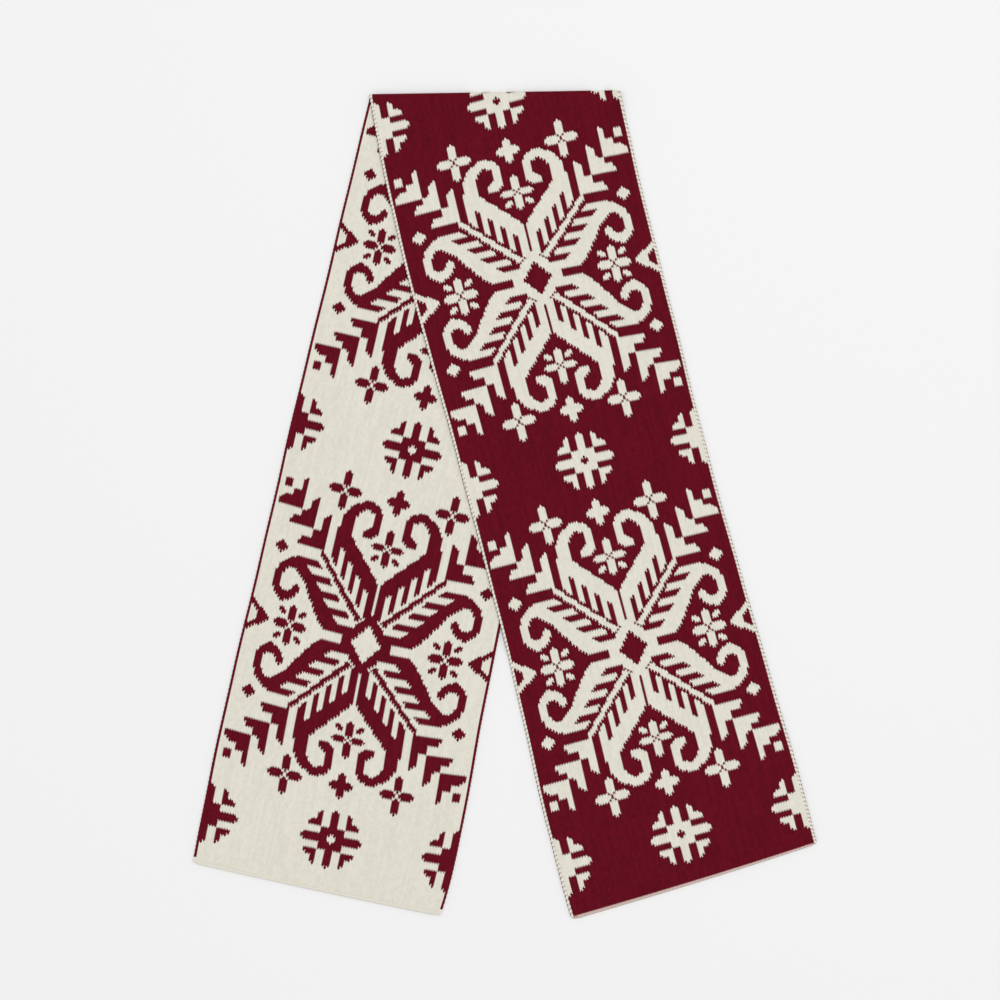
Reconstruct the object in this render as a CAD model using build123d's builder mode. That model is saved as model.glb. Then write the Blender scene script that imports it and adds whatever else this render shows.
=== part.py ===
"""A double-faced knitted scarf, folded once across its middle and lying flat.

The scarf is one length of double knit: a burgundy-ground ply and a cream-ground ply that
share two selvedges, a cast-on edge and a bound-off edge. It is folded a little off square,
so its two leaves spread apart like a pair of legs. The lower leaf lies flat with its cream
ground up. The fold turns the cloth over, and the upper leaf lies burgundy side up, partly
on the lower leaf and partly on the surface beside it, with a soft step between the two.

Frame: +Z up, +Y towards the fold, and the origin under the middle of the whole scarf's box.
"""

import os
from math import cos, pi, radians, sin

from build123d import *

os.makedirs("parts", exist_ok=True)

# ---------------------------------------------------------------------------
# Driving dimensions, in millimetres and degrees
# ---------------------------------------------------------------------------
ply_thickness = 1.4
selvedge_width = 3.0
end_edge_length = 5.0
fold_line_length = 278.8
lower_leaf_length = 902.0
upper_leaf_length = 898.0
leaf_turn = 13.4
edge_flare = 0.25
lower_end_skew = 0.7
upper_end_skew = 3.8
air_gap_in_fold = 0.6
step_run = 14.0
turn_up_station = 640.0
turn_up_gap = 0.3
edge_round = 0.9

# ---------------------------------------------------------------------------
# Sizes that follow from them
# ---------------------------------------------------------------------------
cloth_thickness = 2 * ply_thickness
upper_lift = cloth_thickness + air_gap_in_fold
fold_outer_radius = cloth_thickness + air_gap_in_fold / 2
fold_mid_radius = fold_outer_radius - ply_thickness
fold_centre_height = fold_outer_radius
half_fold = fold_line_length / 2
cloth_margin = 100.0


class Line2D:
    """A straight line in plan, through a point and along a direction."""

    def __init__(self, through, along):
        self.through = Vector(*through)
        self.along = Vector(*along)

    def meet(self, other):
        """Return the point where this line crosses another one, as (x, y)."""
        gap = other.through - self.through
        cross = self.along.X * other.along.Y - self.along.Y * other.along.X
        reach = (gap.X * other.along.Y - gap.Y * other.along.X) / cross
        point = self.through + self.along * reach
        return (point.X, point.Y)


class Leaf:
    """The plan of one leaf: side = -1 leans to the left of the fold, +1 to the right."""

    def __init__(self, side, length, end_skew):
        self.side = side
        self.length = length
        self.end_skew = end_skew

    def heading(self, degrees):
        """Direction in plan of a line that leans that many degrees to the leaf's side."""
        return (self.side * sin(radians(degrees)), -cos(radians(degrees)))

    def edge(self, edge_side, inset):
        """An edge line, moved inwards by inset: edge_side is -1 for left, +1 for right."""
        lean = leaf_turn + self.side * edge_side * edge_flare
        start = edge_side * (half_fold - inset / cos(radians(lean)))
        return Line2D((start, 0), self.heading(lean))

    def across(self, station, skew=0.0):
        """The line across the leaf at a distance from the fold along its middle."""
        middle = Vector(*self.heading(leaf_turn)) * station
        slope = self.side * (leaf_turn + skew)
        return Line2D((middle.X, middle.Y), (cos(radians(slope)), sin(radians(slope))))

    def end(self, inset=0.0):
        """The line along the leaf's end, moved towards the fold by inset."""
        return self.across(self.length - inset, self.end_skew)


lower = Leaf(-1, lower_leaf_length, lower_end_skew)
upper = Leaf(+1, upper_leaf_length, upper_end_skew)
fold_line = Line2D((0, 0), (1, 0))


def outline(left, right, near, far):
    """Corners of the plan between two edge lines and two lines across."""
    return [near.meet(left), near.meet(right), far.meet(right), far.meet(left)]


lower_corners = outline(lower.edge(-1, 0), lower.edge(1, 0), fold_line, lower.end())
upper_corners = outline(upper.edge(-1, 0), upper.edge(1, 0), fold_line, upper.end())
all_x = [x for x, y in lower_corners + upper_corners]
all_y = [y for x, y in lower_corners + upper_corners] + [fold_outer_radius]
fold_x = -(min(all_x) + max(all_x)) / 2
fold_y = -(min(all_y) + max(all_y)) / 2


def placed(points):
    """Move plan points from the fold's middle to the scarf's own origin."""
    return [(x + fold_x, y + fold_y) for x, y in points]


def finish(part, name):
    """Label one finished piece and write it as its own node."""
    part.label = name
    export_step(part, f"parts/{name}.step")


# ---------------------------------------------------------------------------
# Flat cloth of the lower leaf and of its turn-up end
# ---------------------------------------------------------------------------
def flat_cloth(name, corners, bottom, thickness):
    """A flat slab of cloth over four corners."""
    with BuildPart() as cloth:
        with BuildSketch(Plane.XY.offset(bottom)):
            with BuildLine():
                Polyline(*placed(corners), close=True)
            make_face()
        extrude(amount=thickness)
    finish(cloth.part, name)


def flat_selvedge(name, corners, outward):
    """A flat selvedge, rounded along its outer long edges; outward is -1 left, +1 right."""
    with BuildPart() as selvedge:
        with BuildSketch(Plane.XY):
            with BuildLine():
                Polyline(*placed(corners), close=True)
            make_face()
        extrude(amount=cloth_thickness)
        long_edges = selvedge.edges().filter_by(lambda e: e.length > selvedge_width * 5)
        outer_edges = long_edges.sort_by(Axis.X)[2:] if outward > 0 else long_edges.sort_by(Axis.X)[:2]
        fillet(outer_edges, radius=edge_round)
    finish(selvedge.part, name)


def lower_section(prefix, near, far):
    """The plies and selvedges of the lower leaf between two lines across it."""
    inner_left = lower.edge(-1, selvedge_width)
    inner_right = lower.edge(1, selvedge_width)
    body = outline(inner_left, inner_right, near, far)
    flat_cloth(f"{prefix}_burgundy_ply", body, 0, ply_thickness)
    flat_cloth(f"{prefix}_cream_ply", body, ply_thickness, ply_thickness)
    left_strip = outline(lower.edge(-1, 0), inner_left, near, far)
    right_strip = outline(inner_right, lower.edge(1, 0), near, far)
    flat_selvedge(f"{prefix}_left_selvedge", left_strip, -1)
    flat_selvedge(f"{prefix}_right_selvedge", right_strip, 1)


lower_section("lower_leaf", fold_line, lower.across(turn_up_station))
lower_section("lower_end", lower.across(turn_up_station + turn_up_gap), lower.end(end_edge_length))

cast_on_plan = outline(lower.edge(-1, 0), lower.edge(1, 0), lower.end(end_edge_length), lower.end())
flat_cloth("cast_on_edge", cast_on_plan, 0, cloth_thickness)


# ---------------------------------------------------------------------------
# The fold: a half-round roll that turns the cloth over
# ---------------------------------------------------------------------------
def fold_roll(name, start_x, end_x, outer_radius, inner_radius):
    """A half-round length of the fold between two radii."""
    profile_plane = Plane.YZ.offset(start_x + fold_x)
    with BuildPart() as roll:
        with BuildSketch(profile_plane):
            with Locations((fold_y, fold_centre_height)):
                Circle(outer_radius)
                Circle(inner_radius, mode=Mode.SUBTRACT)
                Rectangle(
                    2 * outer_radius,
                    2 * outer_radius,
                    align=(Align.MAX, Align.CENTER),
                    mode=Mode.SUBTRACT,
                )
        extrude(amount=end_x - start_x)
    finish(roll.part, name)


roll_half = half_fold - selvedge_width
fold_inner_radius = air_gap_in_fold / 2
fold_roll("fold_burgundy_ply", -roll_half, roll_half, fold_outer_radius, fold_mid_radius)
fold_roll("fold_cream_ply", -roll_half, roll_half, fold_mid_radius, fold_inner_radius)
fold_roll("fold_left_selvedge", -half_fold, -roll_half, fold_outer_radius, fold_inner_radius)
fold_roll("fold_right_selvedge", roll_half, half_fold, fold_outer_radius, fold_inner_radius)


# ---------------------------------------------------------------------------
# The upper leaf: cloth that steps down off the lower leaf's right edge
# ---------------------------------------------------------------------------
step_heading = lower.edge(1, 0).along
step_plane = Plane(
    origin=(half_fold + fold_x, fold_y, 0),
    x_dir=(-step_heading.Y, step_heading.X, 0),
    z_dir=(step_heading.X, step_heading.Y, 0),
)
step_reach = 2 * fold_line_length


def stepped_cloth(name, corners, bottom, thickness):
    """Cloth over four corners, lying on the lower leaf and stepping down beside it."""
    with BuildPart() as cloth:
        with BuildSketch(step_plane):
            with BuildLine():
                on_leaf = bottom + upper_lift
                low_run = Line((-step_reach, on_leaf), (0, on_leaf))
                low_step = Spline(low_run @ 1, (step_run, bottom), tangents=[(1, 0), (1, 0)])
                low_floor = Line(low_step @ 1, (step_reach, bottom))
                rise = Line(low_floor @ 1, (step_reach, bottom + thickness))
                top_floor = Line(rise @ 1, (step_run, bottom + thickness))
                top_step = Spline(
                    top_floor @ 1,
                    (0, on_leaf + thickness),
                    tangents=[(-1, 0), (-1, 0)],
                )
                top_run = Line(top_step @ 1, (-step_reach, on_leaf + thickness))
                Line(top_run @ 1, low_run @ 0)
            make_face()
        extrude(amount=upper_leaf_length + cloth_margin)
        extrude(cloth.faces().sort_by(Axis.Y)[-1], amount=cloth_margin)
        with BuildSketch(Plane.XY.offset(-1)):
            with BuildLine():
                Polyline(*placed(corners), close=True)
            make_face()
        extrude(amount=upper_lift + cloth_thickness + 2, mode=Mode.INTERSECT)
    finish(cloth.part, name)


upper_inner_left = upper.edge(-1, selvedge_width)
upper_inner_right = upper.edge(1, selvedge_width)
upper_near_end = upper.end(end_edge_length)
upper_body = outline(upper_inner_left, upper_inner_right, fold_line, upper_near_end)
stepped_cloth("upper_leaf_cream_ply", upper_body, 0, ply_thickness)
stepped_cloth("upper_leaf_burgundy_ply", upper_body, ply_thickness, ply_thickness)

upper_left_strip = outline(upper.edge(-1, 0), upper_inner_left, fold_line, upper_near_end)
upper_right_strip = outline(upper_inner_right, upper.edge(1, 0), fold_line, upper_near_end)
stepped_cloth("upper_leaf_left_selvedge", upper_left_strip, 0, cloth_thickness)
stepped_cloth("upper_leaf_right_selvedge", upper_right_strip, 0, cloth_thickness)

bound_off_plan = outline(upper.edge(-1, 0), upper.edge(1, 0), upper_near_end, upper.end())
flat_cloth("bound_off_edge", bound_off_plan, 0, cloth_thickness)

# ---------------------------------------------------------------------------
# Where the joints stand
# ---------------------------------------------------------------------------
bend_radius = (cloth_thickness + air_gap_in_fold) / 2
axis_out = bend_radius * pi / 4
axis_up = bend_radius * (1 - pi / 4)
turn_up_middle = lower.across(turn_up_station).through
print("fold middle:", round(fold_x, 3), round(fold_y, 3))
print("first fold axis y, z:", round(fold_y + axis_out, 3), round(cloth_thickness / 2 + axis_up, 3))
print(
    "second fold axis y, z:",
    round(fold_y + axis_out, 3),
    round(cloth_thickness / 2 + 2 * bend_radius - axis_up, 3),
)
print("turn-up axis point:", round(turn_up_middle.X + fold_x, 3), round(turn_up_middle.Y + fold_y, 3))
print("turn-up axis heading:", round(-cos(radians(leaf_turn)), 6), round(sin(radians(leaf_turn)), 6))
print("lower corners:", [(round(x, 2), round(y, 2)) for x, y in placed(lower_corners)])
print("upper corners:", [(round(x, 2), round(y, 2)) for x, y in placed(upper_corners)])
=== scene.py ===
"""Looks of a long double-face knitted scarf, folded once and laid flat.

The scarf is one strip of two-colour knitting. Each face shows the other's colours turned round.
Working sizes are millimetres and whole stitches, and meshes are made in metres.
"""

from __future__ import annotations

import logging
import math
from dataclasses import dataclass, field
from enum import Enum
from typing import Iterable, Sequence

import bpy
import numpy as np
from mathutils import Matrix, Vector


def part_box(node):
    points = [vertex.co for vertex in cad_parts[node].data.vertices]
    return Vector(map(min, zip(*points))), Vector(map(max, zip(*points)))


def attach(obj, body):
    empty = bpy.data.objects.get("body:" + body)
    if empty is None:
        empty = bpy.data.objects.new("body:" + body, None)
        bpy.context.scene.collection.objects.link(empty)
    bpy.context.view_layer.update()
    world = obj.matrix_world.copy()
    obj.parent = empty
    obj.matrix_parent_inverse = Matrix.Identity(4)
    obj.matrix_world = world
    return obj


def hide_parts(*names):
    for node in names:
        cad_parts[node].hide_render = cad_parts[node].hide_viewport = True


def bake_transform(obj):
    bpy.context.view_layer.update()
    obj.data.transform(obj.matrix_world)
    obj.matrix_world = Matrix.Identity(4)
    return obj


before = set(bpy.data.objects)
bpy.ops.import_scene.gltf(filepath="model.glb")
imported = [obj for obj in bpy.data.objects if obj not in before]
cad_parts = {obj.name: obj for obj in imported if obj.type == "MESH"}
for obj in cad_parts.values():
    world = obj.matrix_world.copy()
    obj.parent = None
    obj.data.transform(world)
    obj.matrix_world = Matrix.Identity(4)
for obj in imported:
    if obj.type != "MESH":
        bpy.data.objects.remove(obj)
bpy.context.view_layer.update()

MM = 0.001
log = logging.getLogger("scarf")

Point2 = tuple[float, float]
Colour = tuple[float, float, float]


class Yarn(Enum):
    """The yarns that the scarf is made of, each with its first material place on a piece."""

    BURGUNDY = 0
    CREAM = 3
    CHAIN = 6


class Face(Enum):
    """The two faces of the cloth, as the sign of their offset from its middle."""

    BURGUNDY = 1
    CREAM = -1


class Side(Enum):
    """The two long edges, as the sign of their place across the strip."""

    LEFT = -1
    RIGHT = 1


class Trim(Enum):
    """Which part of a panel that meets the middle of the fold is kept."""

    NONE = 0
    BEFORE_FOLD = 1
    AFTER_FOLD = 2


# ---------------------------------------------------------------- the stitch chart


@dataclass
class StitchChart:
    """One quarter of the repeat, which mirrors left to right and end to end.

    Attributes:
        half_wales: wales from the middle wale to a selvedge, the middle one included.
        half_courses: courses from the middle of a medallion to the middle of a snowflake.
        course_to_wale: height of a course over the width of a wale.
        last_motif: courses from the fold's snowflake to where each end turns plain.
    """

    half_wales: int = 47
    half_courses: int = 87
    course_to_wale: float = 0.8
    last_motif: int = 361
    on: np.ndarray = field(init=False)

    def __post_init__(self) -> None:
        """Lays out the empty quarter and draws every motif on it."""
        self.i, self.j = np.meshgrid(
            np.arange(self.half_wales, dtype=float),
            np.arange(self.half_courses) + 0.5,
            indexing="ij",
        )
        self.on = np.zeros(self.i.shape, bool)
        self.draw()

    def inside(self, corners: Sequence[Point2]) -> np.ndarray:
        """Finds the stitches whose middles lie in a polygon.

        Args:
            corners: the polygon's corners in wales and courses.

        Returns:
            One truth value for each stitch of the quarter.
        """
        hit = np.zeros(self.i.shape, bool)
        ring = list(corners)
        for (x0, y0), (x1, y1) in zip(ring, ring[1:] + ring[:1]):
            if y0 == y1:
                continue
            crosses = (y0 > self.j) != (y1 > self.j)
            hit ^= crosses & (self.i < (x1 - x0) * (self.j - y0) / (y1 - y0) + x0)
        return hit

    def fill(self, corners: Sequence[Point2]) -> None:
        """Turns the stitches of a polygon on."""
        self.on |= self.inside(corners)

    def clear(self, corners: Sequence[Point2]) -> None:
        """Turns the stitches of a polygon off."""
        self.on &= ~self.inside(corners)

    def stroke(self, path: Sequence[tuple[float, float, float]]) -> None:
        """Draws a round-ended brush stroke along a smooth curve.

        Args:
            path: wale, course and half width at each point that the curve goes through.
        """
        for x, y, radius in smooth_curve(path):
            reach = np.hypot(self.i - x, (self.j - y) * self.course_to_wale)
            self.on |= reach <= radius

    def block(self, wales: Point2, courses: Point2, shown: bool = True) -> None:
        """Sets a rectangle of stitches.

        Args:
            wales: first and last wale.
            courses: first and last course.
            shown: whether the stitches are turned on or off.
        """
        cells = (self.i >= wales[0]) & (self.i <= wales[1])
        cells &= (self.j > courses[0]) & (self.j < courses[1] + 1)
        self.on = np.where(cells, shown, self.on)

    def around(self, wale: float, course: float) -> tuple[np.ndarray, np.ndarray]:
        """Gives each stitch's whole distance from a motif's middle, across and along."""
        across = np.floor(np.abs(self.i - wale) + 0.01)
        return across, np.floor(np.abs(self.j - course))

    def petal_flower(self, wale: float, course: float, dots: Sequence[int]) -> None:
        """Draws a flower of four long petals with a dot in its corners.

        Args:
            wale: the flower's middle wale.
            course: the flower's middle line between two courses.
            dots: the ends that have corner dots, -1 towards the medallion and 1 away from it.
        """
        across, along = self.around(wale, course)
        self.on |= (along == 0) & (across >= 1) & (across <= 6)
        self.on |= (along == 1) & (((across >= 2) & (across <= 5)) | (across == 0))
        self.on |= (along >= 2) & (along <= 7) & (across <= 1)
        self.on |= (along == 8) & (across == 0)
        dot = (across == 5) & (along >= 5) & (along <= 6)
        dot |= (across == 4) & (along >= 4) & (along <= 6)
        dot |= (across == 3) & (along >= 4) & (along <= 5)
        self.on |= dot & np.isin(np.sign(self.j - course), dots)

    def stepped_spot(self, wale: float, course: float, reach: Sequence[int]) -> None:
        """Draws a small symmetric spot.

        Args:
            wale: its middle wale.
            course: its middle line between two courses.
            reach: how many wales it reaches from its middle on each course going out.
        """
        across, along = self.around(wale, course)
        for row, wales in enumerate(reach):
            self.on |= (along == row) & (across <= wales)

    def snowflake(self, wale: float, eye: bool) -> None:
        """Draws an eight-pointed snowflake whose middle line is the quarter's last one.

        Args:
            wale: its middle wale.
            eye: whether its middle is open.
        """
        across, along = self.around(wale, self.half_courses)
        self.on |= (across <= 4) & (along <= 4)
        if eye:
            self.on &= ~((across == 0) & (along <= 1)) & ~((across == 1) & (along == 0))
        self.on |= (across >= 5) & (across <= 10) & (along <= 1)
        self.on |= (across == 11) & (along == 0)
        self.on |= (along >= 5) & (along <= 11) & (across <= 1)
        self.on |= (along == 12) & (across == 0)
        for wales, tip in zip(range(5, 10), (11, 10, 7, 7, 6)):
            self.on |= (across == wales) & (along >= 5) & (along <= tip)

    def draw_side_heart(self) -> None:
        """Draws the fern leaf and scroll that lean to the selvedge."""
        leaf = [(9.6, 2.2), (17.7, 2.2), (21.3, 6.9), (24.5, 12.5), (27.0, 17.3)]
        leaf += [(29.5, 21.0), (30.8, 30.2), (25.2, 29.8), (22.6, 27.4)]
        for tooth in (2, 1, 0):
            leaf.append((9.7 + 4.6 * tooth, 12.0 + 6.05 * tooth))
            leaf.append((8.3 + 4.6 * tooth, 9.1 + 6.05 * tooth))
        self.fill(leaf + [(5.0, 5.0)])
        scroll = [(27.5, 22.5, 2.6), (30.8, 26.4, 2.9), (35.0, 26.1, 2.0)]
        scroll += [(37.8, 23.3, 1.6), (39.2, 18.9, 1.5), (38.3, 13.7, 1.5)]
        scroll += [(35.4, 11.5, 1.7), (32.5, 12.9, 1.7), (31.0, 15.8, 1.4)]
        self.stroke(scroll)
        for slot in range(4):
            wale, course = 5.2 + 4.6 * slot, 5.9 + 6.05 * slot
            end, tip = 12.4 + 4.5 * slot, 14.8 + 4.8 * slot
            low = course + 3.0
            self.clear([(wale, course), (end, course), (tip, low), (wale, low)])

    def draw_upright_heart(self) -> None:
        """Draws the fern leaf and scroll that stand along the scarf."""
        leaf = [(0.5, 10.5), (2.6, 10.5), (2.6, 11.0), (19.8, 32.4), (20.5, 36.0)]
        leaf += [(20.5, 45.0), (19.7, 48.0), (14.6, 47.0), (13.9, 43.6), (7.6, 36.0)]
        self.fill(leaf + [(1.0, 27.2), (0.5, 27.2)])
        scroll = [(17.8, 42.0, 2.6), (17.4, 47.0, 2.6), (16.9, 52.0, 2.4)]
        scroll += [(14.7, 56.2, 1.8), (11.0, 58.7, 1.65), (7.6, 57.8, 1.6)]
        scroll += [(5.9, 54.4, 1.55), (5.9, 50.4, 1.6), (7.0, 47.6, 1.8)]
        self.stroke(scroll + [(8.8, 46.7, 1.6)])
        for slot in range(4):
            wale, course = 3.6 + 4.05 * slot, 9.0 + 5.0 * slot
            far, low = wale + 1.95, 21.8 + 5.05 * slot
            self.clear([(wale, course), (far, course + 2.0), (far, low + 1.2), (wale, low)])

    def draw_chevrons(self) -> None:
        """Draws the run of three chevrons that steps out to the selvedge."""
        first = [(23.7, 34.9), (34.6, 34.9), (34.6, 36.6), (32.6, 39.0), (29.6, 39.0)]
        first += [(29.6, 42.6), (26.4, 42.6), (26.4, 48.9), (23.7, 51.6)]
        self.fill(first)
        later = [(29.5, 42.8), (39.9, 42.5), (39.9, 44.2), (37.5, 47.2), (35.2, 47.6)]
        later += [(35.2, 50.4), (32.4, 50.6), (32.4, 54.6), (29.5, 57.5)]
        for step in range(2):
            self.fill([(x + 5.6 * step, y + 7.7 * step) for x, y in later])
        self.block((42, 44), (57.9, 61))

    def draw(self) -> None:
        """Draws the medallion, its fillers, the selvedge diamonds and the snowflakes."""
        core = [(-1.0, 0.0), (9.6, 0.0), (9.6, 5.9), (5.3, 5.9), (4.9, 8.8)]
        self.fill(core + [(3.0, 9.6), (0.6, 12.9), (-1.0, 12.9)])
        self.draw_side_heart()
        self.draw_upright_heart()
        midrib = [(4.4, 8.6), (5.4, 8.6), (24.8, 33.1), (24.8, 36.0), (24.2, 35.6)]
        self.fill(midrib + [(3.7, 10.2)])
        self.draw_chevrons()
        self.clear([(-5.6, 0.0), (5.6, 0.0), (0.0, 8.4)])
        self.block((0, 0), (12.5, 27), shown=False)
        self.petal_flower(0, 42.5, dots=(-1,))
        self.petal_flower(30, 0, dots=(-1, 1))
        self.petal_flower(21, 63, dots=())
        self.stepped_spot(0, 63, reach=(4, 3, 1, 1, 1, 0))
        self.stepped_spot(40, 32, reach=(2, 1, 0))
        diamond = self.j <= (self.i - 38.3) * 0.95
        self.on |= diamond & ~(self.j <= (self.i - 42.6) * 1.1)
        self.snowflake(0, eye=True)
        self.snowflake(46.5, eye=False)

    def motif(self, wale: np.ndarray, course: np.ndarray) -> np.ndarray:
        """Looks up the whole scarf's motif stitches.

        Args:
            wale: whole wales from the middle one, negative to the left.
            course: whole courses from the middle of the snowflake by the fold.

        Returns:
            True where the stitch belongs to a motif.
        """
        repeat = 2 * self.half_courses
        from_medallion = np.abs((course + 0.5) % repeat - self.half_courses)
        shown = self.on[np.abs(wale), np.floor(from_medallion).astype(int)]
        return shown & (np.abs(course + 0.5) < self.last_motif)


def smooth_curve(points: Sequence[Sequence[float]], steps: int = 12) -> np.ndarray:
    """Runs a smooth curve through points.

    Args:
        points: the points, each with any number of values.
        steps: how many samples lie between two points.

    Returns:
        The samples in order.
    """
    p = np.asarray(points, float)
    p = np.vstack([2 * p[0] - p[1], p, 2 * p[-1] - p[-2]])
    t = np.linspace(0, 1, steps, endpoint=False)[:, None]
    runs = []
    for a, b, c, d in zip(p[:-3], p[1:-2], p[2:-1], p[3:]):
        cubic = (3 * b - a - 3 * c + d) * t**3
        square = (2 * a - 5 * b + 4 * c - d) * t**2
        runs.append(0.5 * (2 * b + (c - a) * t + square + cubic))
    return np.vstack([*runs, p[-2][None]])


# ---------------------------------------------------------------- the shape of the cloth


def farthest(nodes: Iterable[str], towards: Point2) -> np.ndarray:
    """Finds the corner of some CAD nodes that lies farthest in a direction.

    Args:
        nodes: names of the CAD nodes.
        towards: the direction in plan.

    Returns:
        The corner in plan, in millimetres.
    """
    meshes = [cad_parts[name].data.vertices for name in nodes]
    points = np.array([v.co[:2] for mesh in meshes for v in mesh]) / MM
    return points[np.argmax(points @ np.array(towards))]


@dataclass(frozen=True)
class Lay:
    """How one leaf was pulled when it was laid down, in millimetres, at stations from the fold.

    Attributes:
        along: pull towards the end at the left edge, the middle and the right edge.
        across: pull to the right at the same three places.
        reach: how far the end's knitting lies past its square line, at the same three places.
    """

    along: tuple[tuple[float, float, float], ...]
    across: tuple[tuple[float, float, float], ...]
    reach: tuple[float, float, float]

    def pull(self, share: np.ndarray, run: np.ndarray) -> tuple[np.ndarray, np.ndarray]:
        """Finds the pull at points of the leaf.

        Args:
            share: place across, 0 to 1.
            run: place along, 0 at the fold and 1 at the end.

        Returns:
            The pull along and the pull across.
        """
        stations = np.linspace(0, 1, len(self.along))
        pulls = []
        for table in (self.along, self.across):
            columns = [self.through(stations, column, run) for column in zip(*table)]
            pulls.append(self.spread(share, columns))
        return pulls[0], pulls[1]

    @staticmethod
    def spread(share: np.ndarray, values: Sequence[np.ndarray | float]) -> np.ndarray:
        """Runs a smooth arch through the values at the left edge, the middle and the right edge.

        Args:
            share: place across, 0 to 1.
            values: the three values.

        Returns:
            The arch's height at each place.
        """
        side = 2 * share - 1
        arches = (side * (side - 1) / 2, 1 - side**2, side * (side + 1) / 2)
        return sum(a * v for a, v in zip(arches, values))

    @staticmethod
    def through(stations: np.ndarray, values: Sequence[float], run: np.ndarray) -> np.ndarray:
        """Runs a smooth wave through the stations' values.

        Args:
            stations: where the stations are, 0 to 1.
            values: the value at each station.
            run: place along, 0 to 1.

        Returns:
            The wave's height at each place.
        """
        total = np.zeros(np.shape(run))
        for k, value in enumerate(values):
            others = np.delete(stations, k)
            weight = np.prod([(run - o) / (stations[k] - o) for o in others], axis=0)
            total = total + value * weight
        return total


# Most of these numbers were fitted by a separate program and rounded to half a millimetre. Some of
# them, mostly at the later stations, were then changed, and so was the reach. The fold offset, the
# pitches and the stretches in FoldedStrip come from the same fit.
LOWER_LAY = Lay(
    along=((0, 0, 0), (-1.5, 0.5, -0.5), (-3.5, -1, 1), (-5, 2.5, 0), (-3, 2, -6.5), (-1.5, -3, -4)),
    across=((0, 0, 0), (-2.5, -2.5, 0), (-5, -3, 0), (-6.5, -8, -4), (-8, -5, -1), (-5, 0, -1)),
    reach=(8.5, 8.5, 5.5),
)
UPPER_LAY = Lay(
    along=((0, 0, 0), (-1.5, -1.5, 7.5), (-1.5, -2.5, 5.5), (0, 0.5, 2), (1.5, 0, -1), (0, 0, -2)),
    across=((0, 0, 0), (-7.5, -3.5, -3), (-4.5, -3.5, -4), (-2, -3, -3), (-4.5, -3, 1), (-5, -2.5, 2)),
    reach=(3.5, 7.0, 9.5),
)


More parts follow.
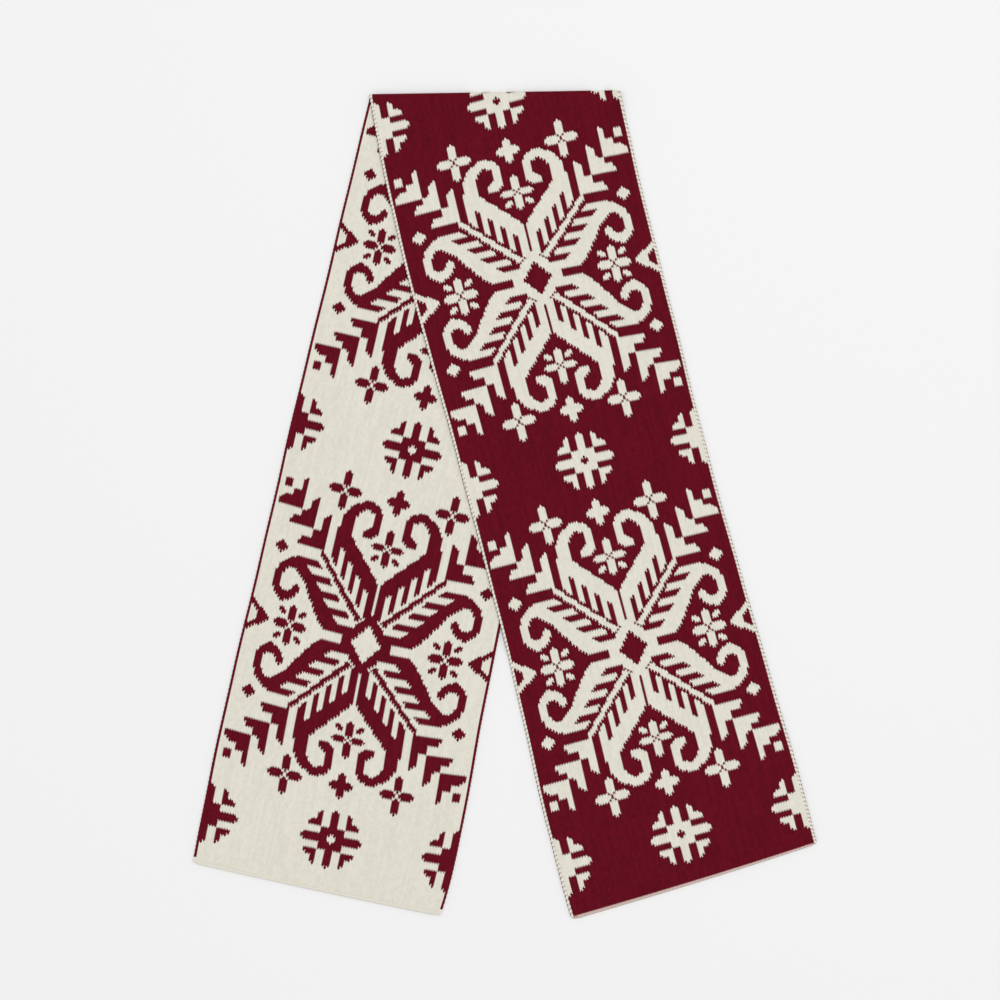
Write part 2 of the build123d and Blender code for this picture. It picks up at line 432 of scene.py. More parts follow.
@dataclass
class FoldedStrip:
    """Maps the flat strip, in wales and courses, to where it lies in the frame.

    Attributes:
        wales: pattern wales between the two selvedges.
        selvedge_wales: width of a selvedge in wales.
        fold_offset: path from the middle of the fold to the middle of its snowflake.
        upper_pitch: height of a course on the upper leaf beside the fold.
        upper_stretch: how that height grows along the upper leaf.
        lower_pitch: height of a course on the lower leaf beside the fold.
        lower_stretch: how that height grows along the lower leaf.
        first_course: the course at the cast-on end.
        last_course: the course at the bound-off end.
        skew_courses: how many courses share the lean of an end that isn't square.
        step_run: how far the upper leaf takes to come down to the floor.
        edge_bow: how far the upper leaf's right edge pulls in at mid-length.
        swell: how far soft rises lift the cloth off the floor.
        settle_run: how far from the fold the rises and wander reach most of their size.
        lower_lay: how the lower leaf was pulled.
        upper_lay: how the upper leaf was pulled.
    """

    wales: int = 93
    selvedge_wales: float = 1.03
    fold_offset: float = 10.2
    upper_pitch: float = 2.325
    upper_stretch: float = 0.000273
    lower_pitch: float = 2.335
    lower_stretch: float = 0.00042
    first_course: float = -371.0
    last_course: float = 371.0
    skew_courses: float = 72.0
    step_run: float = 14.0
    edge_bow: float = 2.4
    swell: float = 0.5
    settle_run: float = 25.0
    lower_lay: Lay = LOWER_LAY
    upper_lay: Lay = UPPER_LAY

    def __post_init__(self) -> None:
        """Reads the fold, the leaves' corners and the thickness from the frame."""
        self.lays = {-1: self.lower_lay, 1: self.upper_lay}
        roll_low, roll_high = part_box("fold_burgundy_ply")
        _, leaf_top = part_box("lower_leaf_cream_ply")
        self.cloth = leaf_top.z / MM
        self.roll_outer = (roll_high.z - roll_low.z) / MM / 2
        self.roll_middle = self.roll_outer - self.cloth / 2
        self.fold_y = roll_high.y / MM - self.roll_outer
        self.quarter_turn = self.roll_middle * math.pi / 2
        left = farthest(["fold_left_selvedge"], (-1, 0))[0]
        right = farthest(["fold_right_selvedge"], (1, 0))[0]
        self.fold_left, self.fold_length = left, right - left
        ends = {
            -1: (farthest(["cast_on_edge"], (-1, -0.5)), farthest(["cast_on_edge"], (0, -1))),
            1: (farthest(["bound_off_edge"], (0, -1)), farthest(["bound_off_edge"], (1, 0))),
        }
        self.leans: dict[int, tuple[float, float]] = {}
        self.lengths: dict[int, tuple[float, float]] = {}
        for leaf, corners in ends.items():
            runs = [c - np.array([x, self.fold_y]) for c, x in zip(corners, (left, right))]
            self.leans[leaf] = tuple(math.atan2(leaf * r[0], -r[1]) for r in runs)
            self.lengths[leaf] = tuple(float(np.hypot(*r)) for r in runs)
        self.turn = float(np.mean([*self.leans[-1], *self.leans[1]]))

    def share(self, wale: np.ndarray) -> np.ndarray:
        """Place across the strip, 0 at the left outer edge and 1 at the right one."""
        return (wale + self.selvedge_wales) / (self.wales + 2 * self.selvedge_wales)

    def middle_path(self, course: np.ndarray) -> np.ndarray:
        """Finds the path along the middle wale from the middle of the fold.

        Args:
            course: place along, in courses.

        Returns:
            The path in millimetres, negative on the lower leaf.
        """
        up = self.upper_pitch * course + self.upper_stretch * course**2
        down = self.lower_pitch * course - self.lower_stretch * course**2
        return self.fold_offset + np.where(course > 0, up, down)

    def path(self, wale: np.ndarray, course: np.ndarray) -> np.ndarray:
        """Path along a wale from the middle of the fold.

        Args:
            wale: place across, in wales from the left selvedge's inner line.
            course: place along, in courses from the middle of the snowflake by the fold.

        Returns:
            The path in millimetres, negative on the lower leaf.
        """
        share = self.share(wale)
        slant = (share - 0.5) * self.fold_length * math.sin(self.turn)
        path = self.middle_path(course) - slant
        for leaf, end in ((-1, self.first_course), (1, self.last_course)):
            left, right = self.lengths[leaf]
            wanted = left + (right - left) * share + self.quarter_turn
            wanted = wanted + self.lays[leaf].spread(share, self.lays[leaf].reach)
            got = self.middle_path(np.array(end)) - slant
            late = np.clip((course - end) * leaf / self.skew_courses + 1, 0, None)
            path = path + late**5 * (leaf * wanted - got)
        return path

    def fold_course(self, wale: np.ndarray) -> np.ndarray:
        """Finds the course at which a wale crosses the middle of the fold.

        Args:
            wale: place across, in wales from the left selvedge's inner line.

        Returns:
            The course.
        """
        share = self.share(wale)
        slant = (share - 0.5) * self.fold_length * math.sin(self.turn)
        courses = np.linspace(-40, 40, 321)
        return np.interp(slant, self.middle_path(courses), courses)

    def place(self, wale: np.ndarray, course: np.ndarray, offset: np.ndarray) -> np.ndarray:
        """Finds points of the cloth in the frame.

        Args:
            wale: place across, in wales from the left selvedge's inner line.
            course: place along, in courses.
            offset: height over the middle of the cloth, towards the burgundy face.

        Returns:
            The points in metres, one row each.
        """
        wale, course, offset = np.broadcast_arrays(wale, course, offset)
        share, path = self.share(wale), self.path(wale, course)
        upper = path > 0
        aside = np.zeros(share.shape)
        for leaf, lay in self.lays.items():
            left, right = self.lengths[leaf]
            run = np.clip(path * leaf / (left + (right - left) * share), 0, 1)
            along, across = lay.pull(share, run)
            own = upper if leaf > 0 else ~upper
            path = path + leaf * along * own
            aside = aside + across * own
        lean = np.zeros(share.shape)
        for leaf, mask in ((-1, ~upper), (1, upper)):
            left, right = self.leans[leaf]
            lean = np.where(mask, left + (right - left) * share, lean)
        reach = path * np.cos(lean)
        out = np.clip(np.abs(reach) - self.quarter_turn, 0, None)
        turn = np.clip(reach / self.roll_middle, -math.pi / 2, math.pi / 2)
        radius = self.roll_middle + offset
        x = self.fold_left + share * self.fold_length + np.sign(reach) * out * np.tan(lean)
        y = self.fold_y - out + radius * np.cos(turn)
        x, y = x + aside * math.cos(self.turn), y + np.sign(reach) * aside * math.sin(self.turn)
        z = self.roll_outer + radius * np.sin(turn)
        settle = 1 - np.exp(-out / self.settle_run)
        length = np.mean(self.lengths[1])
        down = np.clip(out / length, 0, 1)
        bow = self.edge_bow * np.sin(math.pi * down) * share**2
        x = x - np.where(upper, bow, 0) + self.edge_wander(share, path) * settle
        z = z + settle * self.rise(x, y)
        z = z - np.where(upper, self.step_down(x, y), 0)
        return np.stack([x, y, z], axis=-1).reshape(-1, 3) * MM

    def edge_wander(self, share: np.ndarray, path: np.ndarray) -> np.ndarray:
        """Sideways wander of a wale, which hand-laid cloth has."""
        return 0.35 * np.sin(path / 47.0 + share * 2.1) + 0.2 * np.sin(path / 19.0 - share)

    def rise(self, x: np.ndarray, y: np.ndarray) -> np.ndarray:
        """Height of the soft rises that both leaves share, never below the floor."""
        slow = np.sin(x / 61.0 + y / 118.0) + np.sin(y / 83.0 - x / 150.0 + 1.3)
        return self.swell * (slow / 4 + 0.5)

    def step_down(self, x: np.ndarray, y: np.ndarray) -> np.ndarray:
        """Finds how far the upper leaf has come down beyond the lower leaf's right edge.

        Args:
            x: place in plan, in millimetres.
            y: place in plan, in millimetres.

        Returns:
            The drop in millimetres.
        """
        lean = self.leans[-1][1]
        corner = self.fold_left + self.fold_length
        beyond = (x - corner) * math.cos(lean) - (y - self.fold_y) * math.sin(lean)
        t = np.clip(beyond / self.step_run, 0, 1)
        lift = 2 * self.roll_outer - self.cloth
        return lift * t * t * (3 - 2 * t)


# ---------------------------------------------------------------- finishes


@dataclass(frozen=True)
class YarnFinish:
    """A dyed yarn: three close tones of one colour, matt, with twisted plies and fuzz.

    Attributes:
        name: the finish's name.
        colour: the middle tone.
        spread: how much lighter or darker the outer tones are.
        specular: strength of the yarn's faint shine.
        sheen: strength of the fibres' glow along the edges.
        sheen_tint: colour of that glow.
        fuzz: depth of the fibre relief.
    """

    name: str
    colour: Colour
    spread: float
    specular: float
    sheen: float
    sheen_tint: Colour
    fuzz: float = 0.00025

    def tones(self) -> list[bpy.types.Material]:
        """Makes the darker, middle and lighter tone.

        Returns:
            The three materials in that order.
        """
        names = ("deep", "middle", "light")
        return [self.material(f"{self.name}_{n}", 1 + self.spread * k) for n, k in zip(names, (-1, 0, 1))]

    def material(self, name: str, tone: float) -> bpy.types.Material:
        """Makes one tone with the ply twist and the fibres in its bump and roughness.

        Args:
            name: the material's name.
            tone: what the colour is multiplied by.

        Returns:
            The material.
        """
        made = bpy.data.materials.new(name)
        made.use_nodes = True
        nodes, links = made.node_tree.nodes, made.node_tree.links
        shader = nodes["Principled BSDF"]
        shader.inputs["Base Color"].default_value = (*(c * tone for c in self.colour), 1)
        shader.inputs["Specular IOR Level"].default_value = self.specular
        shader.inputs["Sheen Weight"].default_value = self.sheen
        shader.inputs["Sheen Roughness"].default_value = 0.6
        shader.inputs["Sheen Tint"].default_value = (*self.sheen_tint, 1)
        stitch = nodes.new("ShaderNodeAttribute")
        stitch.attribute_name = "stitch"
        twist = nodes.new("ShaderNodeTexWave")
        twist.wave_type, twist.bands_direction = "BANDS", "DIAGONAL"
        twist.inputs["Scale"].default_value = 0.9
        twist.inputs["Distortion"].default_value = 1.2
        twist.inputs["Detail"].default_value = 2.0
        links.new(stitch.outputs["Vector"], twist.inputs["Vector"])
        place = nodes.new("ShaderNodeTexCoord")
        fibres = nodes.new("ShaderNodeTexNoise")
        fibres.inputs["Scale"].default_value = 1400.0
        fibres.inputs["Detail"].default_value = 3.0
        links.new(place.outputs["Object"], fibres.inputs["Vector"])
        both = nodes.new("ShaderNodeMath")
        both.operation = "ADD"
        links.new(twist.outputs["Fac"], both.inputs[0])
        links.new(fibres.outputs["Fac"], both.inputs[1])
        bump = nodes.new("ShaderNodeBump")
        bump.inputs["Strength"].default_value = 0.5
        bump.inputs["Distance"].default_value = self.fuzz
        links.new(both.outputs[0], bump.inputs["Height"])
        links.new(bump.outputs["Normal"], shader.inputs["Normal"])
        rough = nodes.new("ShaderNodeMapRange")
        rough.inputs["To Min"].default_value = 0.78
        rough.inputs["To Max"].default_value = 0.98
        links.new(fibres.outputs["Fac"], rough.inputs["Value"])
        links.new(rough.outputs["Result"], shader.inputs["Roughness"])
        return made


BURGUNDY_WOOL = YarnFinish("burgundy_wool", (0.128, 0.0035, 0.0125), 0.12, 0.08, 0.06, (0.6, 0.05, 0.1))
CREAM_WOOL = YarnFinish("cream_wool", (0.80, 0.77, 0.668), 0.035, 0.2, 0.15, (0.9, 0.88, 0.8))
CHAIN_WOOL = YarnFinish("edge_chain_wool", (0.74, 0.58, 0.52), 0.10, 0.15, 0.12, (0.8, 0.6, 0.55))


# ---------------------------------------------------------------- pieces


def mesh_piece(
    name: str,
    points: np.ndarray,
    quads: np.ndarray,
    finish: np.ndarray,
    materials: Sequence[bpy.types.Material],
    stitch: np.ndarray,
) -> bpy.types.Object:
    """Makes a smooth mesh object from whole arrays.

    Args:
        name: the piece's name.
        points: its vertices in metres.
        quads: four vertex numbers a face.
        finish: the material place of each face.
        materials: the piece's materials.
        stitch: each vertex's place in wales and courses, for the ply twist.

    Returns:
        The linked object.
    """
    mesh = bpy.data.meshes.new(name)
    used, quads = np.unique(quads, return_inverse=True)
    quads = quads.reshape(-1, 4).astype(np.int32)
    points, stitch = points[used], stitch[used]
    mesh.vertices.add(len(points))
    mesh.vertices.foreach_set("co", points.astype(np.float32).ravel())
    mesh.loops.add(quads.size)
    mesh.loops.foreach_set("vertex_index", quads.ravel())
    mesh.polygons.add(len(quads))
    mesh.polygons.foreach_set("loop_start", np.arange(0, quads.size, 4, dtype=np.int32))
    mesh.polygons.foreach_set("material_index", finish.astype(np.int32))
    mesh.polygons.foreach_set("use_smooth", np.ones(len(quads), bool))
    for material in materials:
        mesh.materials.append(material)
    place = mesh.attributes.new("stitch", "FLOAT_VECTOR", "POINT")
    place.data.foreach_set("vector", stitch.astype(np.float32).ravel())
    mesh.update(calc_edges=True)
    made = bpy.data.objects.new(name, mesh)
    bpy.context.scene.collection.objects.link(made)
    return made


def grid_quads(rows: int, columns: int, flip: bool) -> np.ndarray:
    """Numbers the faces of a grid whose vertices run row by row.

    Args:
        rows: rows of vertices.
        columns: vertices in a row.
        flip: whether the faces look the other way.

    Returns:
        Four vertex numbers a face, row by row.
    """
    first = (np.arange(rows - 1)[:, None] * columns + np.arange(columns - 1)).ravel()
    ring = np.stack([first, first + columns, first + columns + 1, first + 1], axis=1)
    return ring[:, ::-1] if flip else ring


@dataclass(frozen=True)
class Motion:
    """How a run of the scarf moves.

    Attributes:
        body: the CAD body that it rides on, or the first of two that it lies across.
        other: the second body, or an empty name.
    """

    body: str
    other: str = ""


@dataclass(frozen=True)
class Section:
    """A run of the strip between two courses.

    Attributes:
        name: first part of its pieces' names.
        first: course at its start.
        last: course at its end.
        motion: how it moves.
        nodes: first part of the CAD nodes' names that it stands for.
        held: how the cloth is held there; not used.
        trim: which part is kept where it meets the middle of the fold.
    """

    name: str
    first: int
    last: int
    motion: Motion
    nodes: str
    held: str = "laid"
    trim: Trim = Trim.NONE

    def kept(self, course: np.ndarray, cut: np.ndarray) -> np.ndarray:
        """Marks the points that lie on the section's own side of the middle of the fold.

        Args:
            course: each point's course.
            cut: the course at which its wale crosses the middle of the fold.

        Returns:
            True where the point is kept.
        """
        if self.trim is Trim.BEFORE_FOLD:
            return course < cut
        if self.trim is Trim.AFTER_FOLD:
            return course > cut
        return np.ones(course.shape, bool)


@dataclass
class Mover:
    """Ties pieces to the CAD bodies; a piece that crosses a joint only has its transform baked into its
    mesh.

    Attributes:
        strip: the folded strip; not used.
        turn_run: length of cloth that a turned-up end would bend over; not used.
        edge_radius: radius about which an edge piece would bend in the fold; not used.
    """

    strip: FoldedStrip
    turn_run: float = 26.0
    edge_radius: float = 0.6

    def tie(self, piece: bpy.types.Object, motion: Motion) -> None:
        """Rides a piece on its body, or bakes its transform when it crosses a joint.

        Args:
            piece: the piece.
            motion: the body or bodies.
        """
        if not motion.other:
            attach(piece, motion.body)
            return
        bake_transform(piece)


@dataclass
class KnitPly:
    """One face of the cloth as real stitches: a raised V in each cell of the chart.

    Attributes:
        strip: the folded strip.
        chart: the stitch chart.
        materials: the yarns' materials, three tones each.
        columns: columns of faces in a stitch.
        rows: rows of faces in a stitch.
        dip: how far a V's middle hangs below its ends, in courses.
        crest: height of a V's legs over the middle of the cloth, at mid-course.
        middle: height between the two legs.
        groove: height between two wales.
        tuck: how far all three sink where one course passes into the next.
        lap: how far a cream stitch swells over a burgundy neighbour, in wales.
    """

    strip: FoldedStrip
    chart: StitchChart
    materials: Sequence[bpy.types.Material]
    columns: int = 4
    rows: int = 2
    dip: float = 0.5
    crest: float = 1.40
    middle: float = 1.05
    groove: float = 0.78
    tuck: float = 0.16
    lap: float = 0.15

    def tone(self, wale: np.ndarray, course: np.ndarray) -> np.ndarray:
        """Picks a tone for each stitch: long faint streaks along the wales with a fine speckle.

        Args:
            wale: each stitch's wale.
            course: each stitch's course.

        Returns:
            0, 1 or 2 for each stitch.
        """
        chance = np.random.default_rng(11)
        streak = chance.normal(size=(128, 64))
        speckle = chance.normal(size=(128, 1024))
        drift = streak[wale % 128, (course // 14) % 64] * 0.8 + speckle[wale % 128, course % 1024]
        return (drift > -0.75).astype(int) + (drift > 0.75)

    def build(self, section: Section, face: Face) -> bpy.types.Object:
        """Builds one face of a section.

        Args:
            section: the run of the strip.
            face: the face.

        Returns:
            The ply.
        """
        first, last = section.first, section.last
        column = np.arange(self.strip.wales * self.columns + 1)
        row = np.arange((last - first) * self.rows + 1)
        wale = column / self.columns
        in_stitch = column % self.columns
        lean = self.dip * np.interp(in_stitch, (0, 1, 2, 3), (1, 0, -1, 0))
        course = first + row[:, None] / self.rows + lean[None, :]
        heights = np.array([self.groove, self.crest, self.middle, self.crest])[in_stitch]
        tuck = np.where(row % self.rows == 0, self.tuck, 0.0)
        height = heights[None, :] - tuck[:, None]
        cut = self.strip.fold_course(wale)[None, :]
        kept = section.kept(course, cut)
        course = np.where(kept, course, cut)
        height = np.where(kept, height, heights[None, :])
        quads = grid_quads(len(row), len(column), face is Face.CREAM)
        cell_wale, cell_course = self.cells(first, len(row) - 1, len(column) - 1)
        on = self.chart.motif(cell_wale - self.strip.wales // 2, cell_course)
        cream = on == (face is Face.BURGUNDY)
        wales = wale[None, :] + self.swing(cream.reshape(len(row) - 1, len(column) - 1))
        points = self.strip.place(wales, course, face.value * height)
        finish = np.where(cream, Yarn.CREAM.value, Yarn.BURGUNDY.value)
        finish = finish + self.tone(cell_wale, cell_course)
        keep = kept.ravel()[quads].any(axis=1)
        stitch = np.stack([wales.ravel(), course.ravel(), height.ravel()], axis=1)
        name = f"{section.name}_{face.name.lower()}_face"
        return mesh_piece(name, points, quads[keep], finish[keep], self.materials, stitch)

    def swing(self, cream: np.ndarray) -> np.ndarray:
        """Swings the grooves from side to side between stitches of two colours.

        Args:
            cream: whether each face is cream, row by row.

        Returns:
            The shift of each vertex in wales.
        """
        step = cream[:, self.columns - 1 : -1 : self.columns].astype(float)
        step = step - cream[:, self.columns :: self.columns]
        before, after = np.vstack([step[:1], step]), np.vstack([step, step[-1:]])
        mid_stitch = np.arange(len(before)) % self.rows != 0
        shift = np.zeros((cream.shape[0] + 1, cream.shape[1] + 1))
        shift[:, self.columns : -1 : self.columns] = (before + after) / 2
        return shift * np.where(mid_stitch, self.lap, -self.lap)[:, None]

    def cells(self, first: int, rows: int, columns: int) -> tuple[np.ndarray, np.ndarray]:
        """Gives each face's stitch.

        Args:
            first: the first course.
            rows: rows of faces.
            columns: faces in a row.

        Returns:
            The wale and the course of each face, row by row.
        """
        wale = np.broadcast_to(np.arange(columns) // self.columns, (rows, columns))
        course = first + np.arange(rows)[:, None] // self.rows
        return wale.ravel(), np.broadcast_to(course, (rows, columns)).ravel()


@dataclass
class Selvedge:
    """A long edge: one wale of slipped stitches that wraps round from face to face.

    Attributes:
        strip: the folded strip.
        materials: the yarns' materials.
        link: courses in one slipped stitch.
        rows: rows of faces in a course.
        height: height of a link over the middle of the cloth.
        inner: height where it meets the first wale.
        pinch: how much a link narrows where it meets the next.
        plain_end: courses at the cast-on end that show no burgundy.
    """

    strip: FoldedStrip
    materials: Sequence[bpy.types.Material]
    link: int = 2
    rows: int = 3
    height: float = 1.4
    inner: float = 0.8
    pinch: float = 0.24
    plain_end: int = 3

    def build(self, section: Section, side: Side, courses: tuple[float, float]) -> bpy.types.Object:
        """Builds one edge of a section.

        Args:
            section: the run of the strip.
            side: the edge.
            courses: the courses that it runs between.

        Returns:
            The selvedge.
        """
        turns = np.radians([90, 68, 48, 28, 8, -12, -32, -50, -68, -90])
        count = int(round((courses[1] - courses[0]) * self.rows)) + 1
        course = np.linspace(*courses, count)
        phase = (course % self.link) / self.link
        swell = 1 - self.pinch * np.cos(math.pi * phase) ** 8
        tops = np.where(np.abs(np.sin(turns)) > 0.99, self.inner, self.height)
        width = self.strip.selvedge_wales * np.cos(turns) ** 0.8
        wale = width[None, :] * (0.4 + 0.6 * swell[:, None])
        offset = np.sin(turns) * tops * swell[:, None]
        edge = 0.0 if side is Side.LEFT else float(self.strip.wales)
        wales = edge + side.value * wale
        line = np.full(wales.shape, edge)
        cut = self.strip.fold_course(line)
        along = np.broadcast_to(course[:, None], wales.shape)
        kept = section.kept(along, cut)
        along = np.where(kept, along, cut)
        points = self.strip.place(wales, along, offset)
        quads = grid_quads(count, len(turns), side is Side.LEFT)
        part = np.broadcast_to(np.arange(len(turns) - 1), (count - 1, len(turns) - 1))
        joined = (np.cos(math.pi * (phase[:-1] + phase[1:]) / 2) ** 2 > 0.9)[:, None]
        burgundy = part >= 5
        burgundy |= (part == 0) & joined
        burgundy |= (part >= 2) & (phase[:-1] < 0.5)[:, None]
        burgundy &= along[:-1, :1] >= self.strip.first_course + self.plain_end
        finish = np.where(burgundy, Yarn.BURGUNDY.value, Yarn.CREAM.value) + 1
        keep = kept.ravel()[quads].any(axis=1)
        stitch = np.stack([wales.ravel(), along.ravel() * 2, offset.ravel()], axis=1)
        name = f"{section.name}_{side.name.lower()}_edge"
        return mesh_piece(name, points, quads[keep], finish.ravel()[keep], self.materials, stitch)


@dataclass
class EndChain:
    """The chain of loops that closes an end of the scarf.

    Attributes:
        strip: the folded strip.
        materials: the yarns' materials.
        steps: rows of faces in a loop.
        height: height of a loop over the middle of the cloth.
        corner: wales over which the chain rounds off at a corner.
        pinch: how much it narrows between two loops.
    """

    strip: FoldedStrip
    materials: Sequence[bpy.types.Material]
    steps: int = 5
    height: float = 1.38
    corner: float = 3.4
    pinch: float = 0.25

    def build(self, name: str, inner: float, outer: float) -> bpy.types.Object:
        """Builds the chain of one end.

        Args:
            name: the piece's name.
            inner: the course at which the knitting stops.
            outer: the course at the chain's outer edge.

        Returns:
            The chain.
        """
        turns = np.radians([90, 66, 44, 24, 8, -8, -24, -44, -66, -90])
        margin = self.strip.selvedge_wales
        span = self.strip.wales + 2 * margin
        count = int(round(span * self.steps)) + 1
        wale = np.linspace(-margin, self.strip.wales + margin, count)
        loop = 1 - self.pinch * np.cos(math.pi * wale) ** 6
        nearest = np.minimum(wale + margin, self.strip.wales + margin - wale)
        round_off = np.clip(1 - nearest / self.corner, 0, 1)
        taper = np.sqrt(np.clip(1 - round_off**2, 0.02, 1))
        lean = 0.18 * np.sin(2 * math.pi * wale)
        reach = (np.cos(turns) ** 0.8)[None, :] * (loop * taper)[:, None]
        course = inner + (outer - inner) * reach
        offset = np.sin(turns)[None, :] * self.height * (loop * (0.35 + 0.65 * taper))[:, None]
        wales = wale[:, None] + lean[:, None] * np.sin(turns)[None, :]
        wales = np.clip(wales, -margin, self.strip.wales + margin)
        points = self.strip.place(wales, course, offset)
        quads = grid_quads(count, len(turns), outer > inner)
        part = np.broadcast_to(np.arange(len(turns) - 1), (count - 1, len(turns) - 1))
        if outer > inner:
            gap = (np.arange(count - 1) % self.steps < 3)[:, None]
            finish = np.where(part < 3, Yarn.CHAIN.value, Yarn.CREAM.value)
            finish = np.where((part >= 2) & (part <= 4) & gap, Yarn.BURGUNDY.value, finish)
        else:
            finish = np.where(part < 3, Yarn.BURGUNDY.value, Yarn.CREAM.value)
        stitch = np.stack([wales.ravel() * 2, course.ravel(), offset.ravel()], axis=1)
        return mesh_piece(name, points, quads, finish.ravel() + 1, self.materials, stitch)


@dataclass
class Scarf:
    """The whole scarf: plies, selvedges and end chains, section by section.

    Attributes:
        strip: the folded strip.
        chart: the stitch chart.
        knit_end: how many courses of each end belong to its chain.
    """

    strip: FoldedStrip
    chart: StitchChart
    knit_end: int = 1

    def sections(self) -> list[Section]:
        """Lists the runs of the strip.

        Returns:
            The sections from the cast-on end to the bound-off end.
        """
        end = Motion("lower_leaf", "lower_end")
        into_fold = Motion("lower_leaf", "fold_strip")
        out_of_fold = Motion("fold_strip", "upper_leaf")
        start = int(self.strip.first_course) + self.knit_end
        stop = int(self.strip.last_course) - self.knit_end
        upper = Motion("upper_leaf")
        return [
            Section("lower_end", start, -238, end, "lower_end"),
            Section("lower_leaf", -238, -120, Motion("lower_leaf"), "lower_leaf"),
            Section("fold_under", -120, 12, into_fold, "fold", "folded", Trim.BEFORE_FOLD),
            Section("fold_over", -19, 120, out_of_fold, "fold", "folded", Trim.AFTER_FOLD),
            Section("upper_leaf", 120, 241, upper, "upper_leaf"),
            Section("upper_end", 241, stop, upper, "upper_leaf"),
        ]

    def build(self) -> None:
        """Builds and ties every piece."""
        materials = [m for f in (BURGUNDY_WOOL, CREAM_WOOL, CHAIN_WOOL) for m in f.tones()]
        ply = KnitPly(self.strip, self.chart, materials)
        edge = Selvedge(self.strip, materials)
        mover = Mover(self.strip)
        for section in self.sections():
            edges = []
            for side in Side:
                courses = (float(section.first), float(section.last))
                piece = edge.build(section, side, courses)
                mover.tie(piece, section.motion)
                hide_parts(f"{section.nodes}_{side.name.lower()}_selvedge")
                edges.append(piece)
            edges += self.chains(section, materials)
            for face in Face:
                piece = ply.build(section, face)
                mover.tie(piece, section.motion)
                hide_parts(f"{section.nodes}_{face.name.lower()}_ply")
                self.flat_size(section)
                log.info("%s: %d faces", piece.name, len(piece.data.polygons))

    def chains(self, section: Section, materials: Sequence[bpy.types.Material]) -> list[bpy.types.Object]:
        """Builds the end chain of a section that has one.

        Args:
            section: the run of the strip.
            materials: the yarns' materials.

        Returns:
            The chain in a list, or an empty list.
        """
        chain = EndChain(self.strip, materials)
        if section.name == "lower_end":
            piece = chain.build("cast_on_chain", section.first + 0.5, self.strip.first_course)
            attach(piece, "lower_end")
            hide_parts("cast_on_edge")
        elif section.name == "upper_end":
            piece = chain.build("bound_off_chain", section.last - 0.5, self.strip.last_course)
            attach(piece, "upper_leaf")
            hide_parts("bound_off_edge")
        else:
            return []
        log.info("%s: %d faces", piece.name, len(piece.data.polygons))
        return [piece]

    def flat_size(self, section: Section) -> tuple[float, float]:
        """Works out a section's size before it was folded.

        Args:
            section: the run of the strip.

        Returns:
            Its width and length in metres.
        """
        strip = self.strip
        width = strip.fold_length * math.cos(strip.turn) * strip.wales
        width /= strip.wales + 2 * strip.selvedge_wales
        middle = strip.wales / 2
        ends = [section.first, section.last]
        if section.trim is Trim.BEFORE_FOLD:
            ends[1] = float(strip.fold_course(np.array(middle)))
        elif section.trim is Trim.AFTER_FOLD:
            ends[0] = float(strip.fold_course(np.array(middle)))
        paths = [float(strip.path(np.array(middle), np.array(float(c)))) for c in ends]
        return round(width * MM, 4), round((paths[1] - paths[0]) * MM, 4)


# ---------------------------------------------------------------- studio


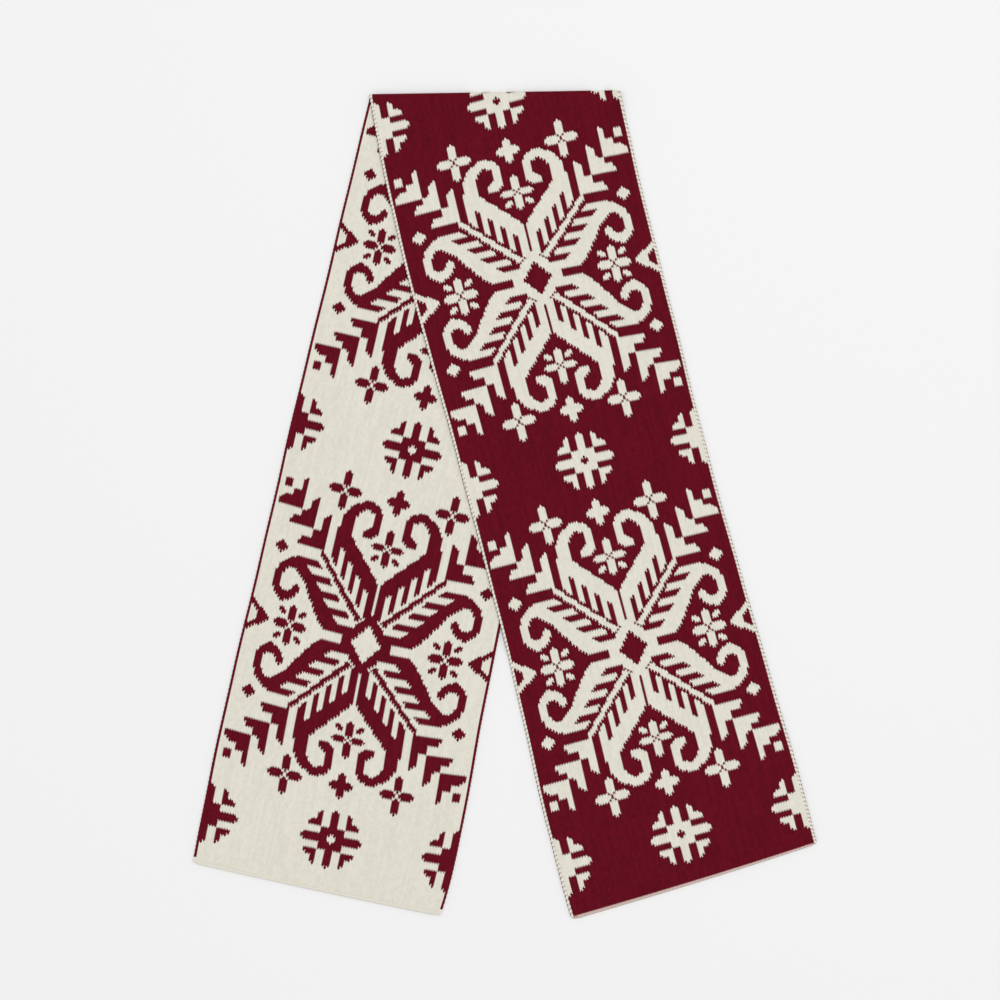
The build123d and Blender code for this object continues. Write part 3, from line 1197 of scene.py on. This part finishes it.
@dataclass
class Studio:
    """Pale floor, soft overhead light and a camera looking straight down.

    Attributes:
        floor_size: width of the floor, in metres.
        floor_colour: colour of the floor.
        sky: brightness of the light from all round.
        lamp_power: power of the broad lamp.
        lamp_size: width of the broad lamp, in metres.
        lamp_place: where it hangs, in metres.
        lens: focal length of the camera.
        view_width: width of the floor that the camera sees, in metres.
        view_centre: where it looks, in metres.
        view_roll: how far it is turned, in degrees.
    """

    floor_size: float = 24.0
    floor_colour: Colour = (0.88, 0.88, 0.88)
    sky: float = 0.70
    lamp_power: float = 150.0
    lamp_size: float = 2.6
    lamp_place: tuple[float, float, float] = (1.1, 1.3, 6.4)
    lens: float = 100.0
    view_width: float = 1.113
    view_centre: Point2 = (-0.0003, 0.0052)
    view_roll: float = -0.92

    def build(self) -> None:
        """Builds the floor, the lights and the camera."""
        self.build_floor()
        self.build_light()
        self.build_camera()

    def build_floor(self) -> None:
        """Lays a large plain floor just under the scarf."""
        half = self.floor_size / 2
        mesh = bpy.data.meshes.new("floor")
        corners = [(-half, -half, 0), (half, -half, 0), (half, half, 0), (-half, half, 0)]
        mesh.from_pydata(corners, [], [(0, 1, 2, 3)])
        floor = bpy.data.objects.new("floor", mesh)
        bpy.context.scene.collection.objects.link(floor)
        paper = bpy.data.materials.new("floor_paper")
        paper.use_nodes = True
        shader = paper.node_tree.nodes["Principled BSDF"]
        shader.inputs["Base Color"].default_value = (*self.floor_colour, 1)
        shader.inputs["Roughness"].default_value = 0.95
        shader.inputs["Specular IOR Level"].default_value = 0.0
        mesh.materials.append(paper)

    def build_light(self) -> None:
        """Lights the scene evenly, a little stronger from the upper left."""
        world = bpy.data.worlds.new("studio")
        world.use_nodes = True
        background = world.node_tree.nodes["Background"]
        background.inputs["Color"].default_value = (1, 1, 1, 1)
        background.inputs["Strength"].default_value = self.sky
        bpy.context.scene.world = world
        lamp = bpy.data.lights.new("broad_lamp", "AREA")
        lamp.shape, lamp.size, lamp.energy = "DISK", self.lamp_size, self.lamp_power
        holder = bpy.data.objects.new("broad_lamp", lamp)
        holder.location = self.lamp_place
        aim = -np.array(holder.location)
        holder.rotation_euler = (
            math.atan2(math.hypot(aim[0], aim[1]), -aim[2]),
            0,
            math.atan2(aim[1], aim[0]) - math.pi / 2,
        )
        bpy.context.scene.collection.objects.link(holder)

    def build_camera(self) -> None:
        """Hangs the camera straight over the scarf."""
        data = bpy.data.cameras.new("camera")
        data.lens = self.lens
        height = self.view_width / 2 / (data.sensor_width / 2 / self.lens)
        camera = bpy.data.objects.new("camera", data)
        camera.location = (*self.view_centre, height)
        camera.rotation_euler = (0, 0, math.radians(self.view_roll))
        bpy.context.scene.collection.objects.link(camera)
        bpy.context.scene.camera = camera
        bpy.context.scene.view_settings.view_transform = "Standard"


def main() -> None:
    """Builds the scarf and the studio."""
    logging.basicConfig(level=logging.INFO, format="%(message)s")
    Scarf(FoldedStrip(), StitchChart()).build()
    Studio().build()


if __name__ == "__main__":
    main()
